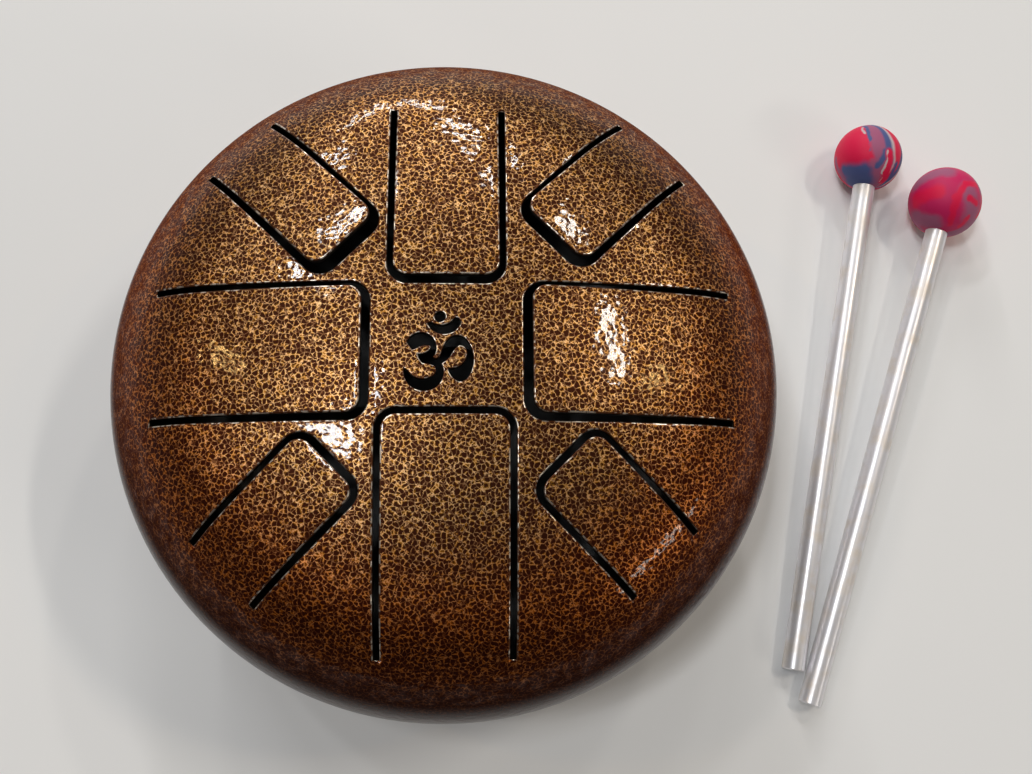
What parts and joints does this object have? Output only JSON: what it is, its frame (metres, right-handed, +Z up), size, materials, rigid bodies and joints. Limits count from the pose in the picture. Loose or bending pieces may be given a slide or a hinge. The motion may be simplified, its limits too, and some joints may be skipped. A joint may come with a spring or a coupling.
{
  "type": "steel tongue drum",
  "caption": "Domed steel tongue drum with sprung tongues cut in its crown, a pierced sign, a sound hole below, rubber feet and a pair of ball-headed mallets.",
  "frame": {"origin": "centre of the sound hole on the underside of the base", "axes": "+Z up through the crown, +X towards the mallets, -Y towards the player"},
  "size_m": [0.2195, 0.1555, 0.0791],
  "materials": {
    "shell_paint": "glossy copper-brown hammertone paint, gold veins on near-black",
    "foot_rubber": "matt black moulded rubber",
    "zinc_steel": "bright zinc plating",
    "rod_metal": "bright drawn metal",
    "marbled_blue_red": "matt rubber marbled in red, slate blue and mauve",
    "marbled_red": "matt rubber marbled in crimson with blue-grey streaks"
  },
  "bodies": {
    "drum": {"upper_shell": "shell_paint", "lower_shell": "shell_paint", "seam_weld": "shell_paint", "foot_front": "foot_rubber", "foot_back_left": "foot_rubber", "foot_back_right": "foot_rubber", "foot_screws": "zinc_steel", "foot_washers": "zinc_steel", "foot_inserts": "zinc_steel"},
    "tongue_back": {"tongue_back": "shell_paint"},
    "tongue_front": {"tongue_front": "shell_paint"},
    "tongue_left": {"tongue_left": "shell_paint"},
    "tongue_right": {"tongue_right": "shell_paint"},
    "tongue_back_left": {"tongue_back_left": "shell_paint"},
    "tongue_back_right": {"tongue_back_right": "shell_paint"},
    "tongue_front_left": {"tongue_front_left": "shell_paint"},
    "tongue_front_right": {"tongue_front_right": "shell_paint"},
    "mallet_1": {"mallet_1_rod": "rod_metal", "mallet_1_head": "marbled_blue_red"},
    "mallet_2": {"mallet_2_rod": "rod_metal", "mallet_2_head": "marbled_red"}
  },
  "joints": [
    {"name": "tongue_back_flex", "type": "hinge", "parent": "drum", "child": "tongue_back", "pos_m": [0, 0.0535, 0.06393], "axis": [-1, 0, 0], "range_deg": [-0.5, 0.5], "stiffness_Nm_per_rad": 3},
    {"name": "tongue_front_flex", "type": "hinge", "parent": "drum", "child": "tongue_front", "pos_m": [0, -0.0604, 0.06081], "axis": [1, 0, 0], "range_deg": [-0.5, 0.5], "stiffness_Nm_per_rad": 3},
    {"name": "tongue_left_flex", "type": "hinge", "parent": "drum", "child": "tongue_left", "pos_m": [-0.0598, 0, 0.06117], "axis": [0, -1, 0], "range_deg": [-0.5, 0.5], "stiffness_Nm_per_rad": 3},
    {"name": "tongue_right_flex", "type": "hinge", "parent": "drum", "child": "tongue_right", "pos_m": [0.0591, 0, 0.06157], "axis": [0, 1, 0], "range_deg": [-0.5, 0.5], "stiffness_Nm_per_rad": 3},
    {"name": "tongue_back_left_flex", "type": "hinge", "parent": "drum", "child": "tongue_back_left", "pos_m": [-0.04441, 0.04639, 0.05804], "axis": [-0.7071, -0.7071, 0], "range_deg": [-0.5, 0.5], "stiffness_Nm_per_rad": 3},
    {"name": "tongue_back_right_flex", "type": "hinge", "parent": "drum", "child": "tongue_back_right", "pos_m": [0.04441, 0.04695, 0.05768], "axis": [-0.7071, 0.7071, 0], "range_deg": [-0.5, 0.5], "stiffness_Nm_per_rad": 3},
    {"name": "tongue_front_left_flex", "type": "hinge", "parent": "drum", "child": "tongue_front_left", "pos_m": [-0.04434, -0.04377, 0.05954], "axis": [0.7071, -0.7071, 0], "range_deg": [-0.5, 0.5], "stiffness_Nm_per_rad": 3},
    {"name": "tongue_front_right_flex", "type": "hinge", "parent": "drum", "child": "tongue_front_right", "pos_m": [0.04419, -0.04236, 0.0603], "axis": [0.7071, 0.7071, 0], "range_deg": [-0.5, 0.5], "stiffness_Nm_per_rad": 3},
    {"name": "mallet_1_lift", "type": "slide", "parent": "drum", "child": "mallet_1", "axis": [0, 0, 1], "range_m": [0, 0.12]},
    {"name": "mallet_2_lift", "type": "slide", "parent": "drum", "child": "mallet_2", "axis": [0, 0, 1], "range_m": [0, 0.12]}
  ]
}
